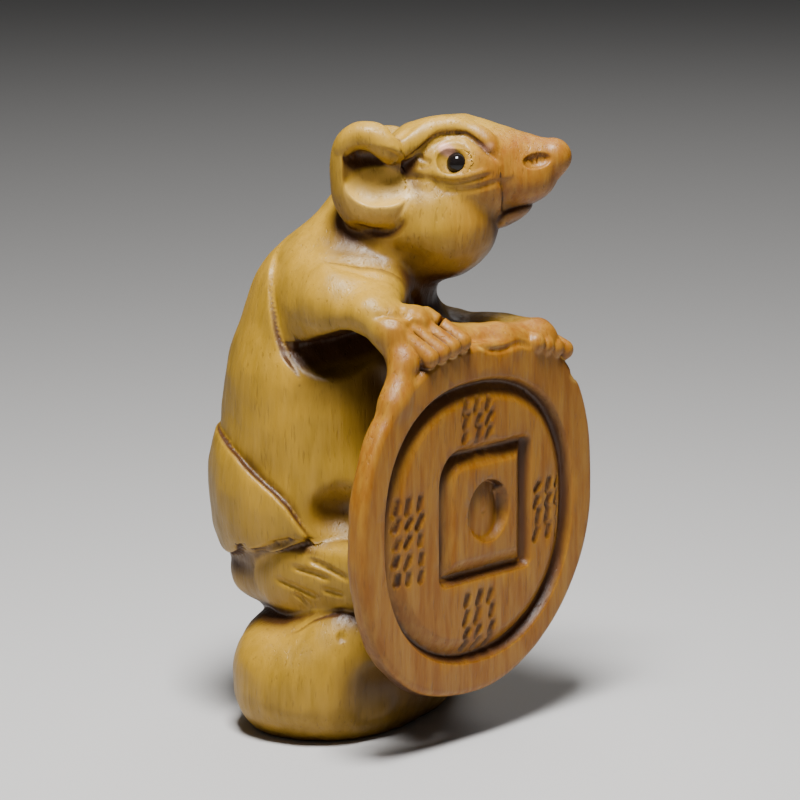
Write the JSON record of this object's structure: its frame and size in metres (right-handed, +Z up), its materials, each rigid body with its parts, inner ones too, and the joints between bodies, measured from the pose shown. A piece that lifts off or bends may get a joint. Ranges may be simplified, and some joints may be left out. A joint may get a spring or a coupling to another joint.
{
  "type": "netsuke",
  "caption": "Carved boxwood netsuke of a rat sitting upright on a rounded seat and holding a big old coin in front of it, with black bead eyes; stands by itself.",
  "frame": {"origin": "middle of the flat underside that the seat stands on", "axes": "+Z up along the figure, -Y the way that the body faces and the coin's front looks, +X the rat's left"},
  "size_m": [0.0292, 0.0279, 0.052],
  "materials": {
    "boxwood": "polished and worn, honey yellow, browner in the recesses",
    "bead": "polished black"
  },
  "bodies": {
    "root": {"carving": "boxwood", "eye_right": "bead", "eye_left": "bead"}
  },
  "joints": []
}
